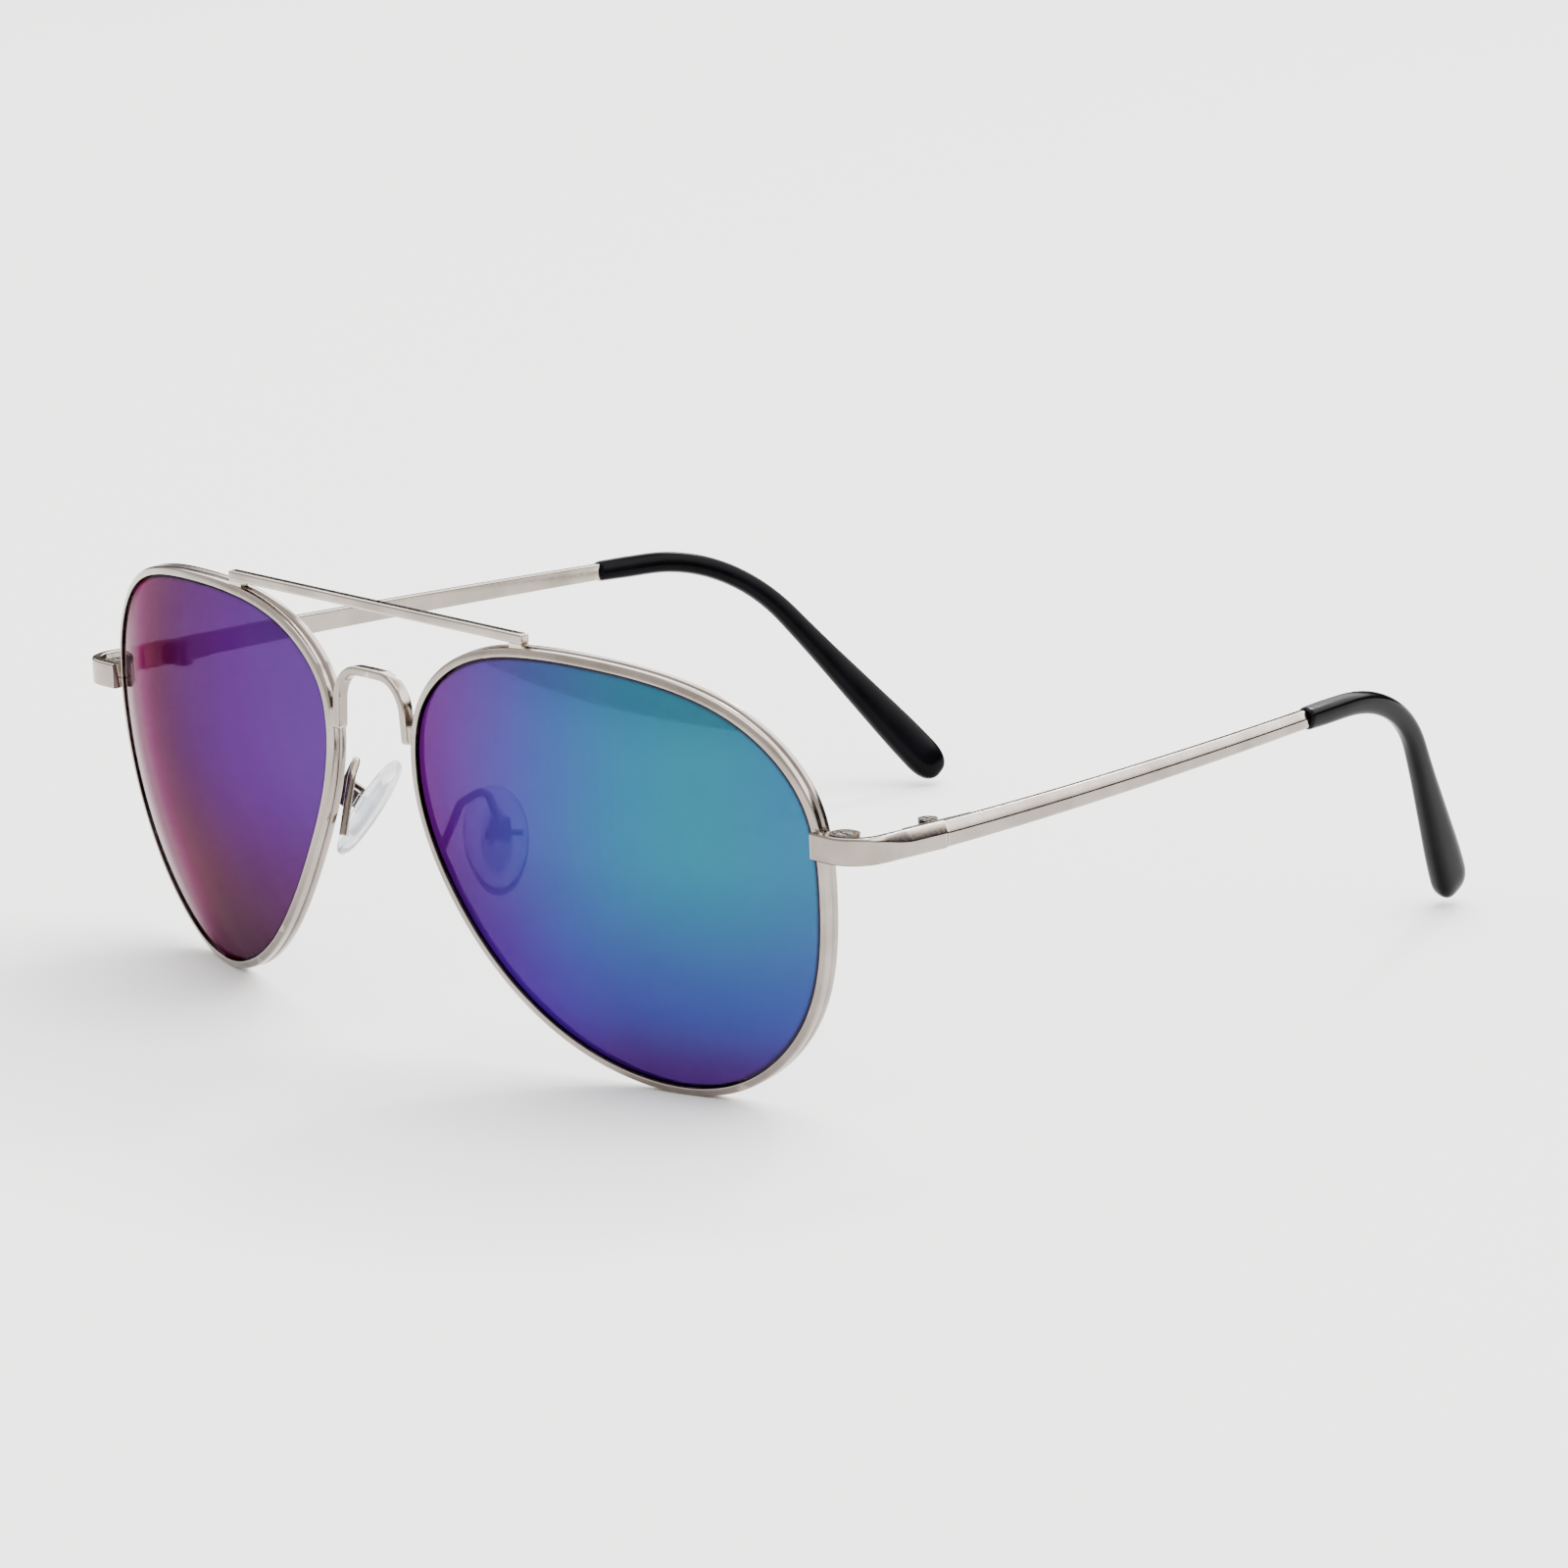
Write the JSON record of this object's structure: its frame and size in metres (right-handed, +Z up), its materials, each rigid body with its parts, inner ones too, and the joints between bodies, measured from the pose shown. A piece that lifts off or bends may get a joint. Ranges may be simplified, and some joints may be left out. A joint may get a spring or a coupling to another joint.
{
  "type": "aviator sunglasses",
  "caption": "Metal aviator sunglasses with mirrored teardrop lenses, brow bar, folding temples, rocking nose pads and curved black temple tips.",
  "frame": {"origin": "middle of the box's underside: midway between the temples and between the front and the temple ends, on the surface that the glasses stand on", "axes": "+Z up, the lenses face -Y, the open temples run to +Y, +X is the wearer's left"},
  "size_m": [0.1472, 0.1308, 0.0526],
  "materials": {
    "polished_nickel": "polished nickel plate",
    "mirror_lens": "polycarbonate with a violet, blue and teal mirror coating",
    "screw_steel": "turned steel",
    "clear_silicone": "clear moulded silicone",
    "pad_plastic": "clear moulded polycarbonate",
    "black_acetate": "gloss black moulded plastic"
  },
  "bodies": {
    "front": {"nose_bridge": "polished_nickel", "brow_bar": "polished_nickel", "left_rim": "polished_nickel", "left_lens": "mirror_lens", "left_endpiece": "polished_nickel", "left_rim_lock_upper": "polished_nickel", "left_rim_lock_lower": "polished_nickel", "left_rim_screw": "screw_steel", "left_brow_foot": "polished_nickel", "left_pad_arm": "polished_nickel", "left_pad_box": "polished_nickel", "left_pad_screw": "screw_steel", "left_hinge_front_leaf": "polished_nickel", "left_hinge_screw": "screw_steel", "right_rim": "polished_nickel", "right_lens": "mirror_lens", "right_endpiece": "polished_nickel", "right_rim_lock_upper": "polished_nickel", "right_rim_lock_lower": "polished_nickel", "right_rim_screw": "screw_steel", "right_brow_foot": "polished_nickel", "right_pad_arm": "polished_nickel", "right_pad_box": "polished_nickel", "right_pad_screw": "screw_steel", "right_hinge_front_leaf": "polished_nickel", "right_hinge_screw": "screw_steel"},
    "left_temple": {"left_hinge_temple_leaf": "polished_nickel", "left_temple": "polished_nickel", "left_temple_tip": "black_acetate"},
    "left_nose_pad": {"left_nose_pad": "clear_silicone", "left_pad_insert": "pad_plastic"},
    "right_temple": {"right_hinge_temple_leaf": "polished_nickel", "right_temple": "polished_nickel", "right_temple_tip": "black_acetate"},
    "right_nose_pad": {"right_nose_pad": "clear_silicone", "right_pad_insert": "pad_plastic"}
  },
  "joints": [
    {"name": "left_temple_fold", "type": "hinge", "parent": "front", "child": "left_temple", "pos_m": [0.07025, -0.04125, 0.0323], "axis": [0, 0, 1], "range_deg": [0, 84]},
    {"name": "right_temple_fold", "type": "hinge", "parent": "front", "child": "right_temple", "pos_m": [-0.07025, -0.04125, 0.0323], "axis": [0, 0, -1], "range_deg": [0, 75]},
    {"name": "left_pad_rock", "type": "hinge", "parent": "front", "child": "left_nose_pad", "pos_m": [0.01409, -0.05801, 0.02603], "axis": [-0.5213, -0.8516, 0.0555], "range_deg": [-8, 8]},
    {"name": "right_pad_rock", "type": "hinge", "parent": "front", "child": "right_nose_pad", "pos_m": [-0.01409, -0.05801, 0.02603], "axis": [-0.5213, 0.8516, -0.0555], "range_deg": [-8, 8]}
  ]
}
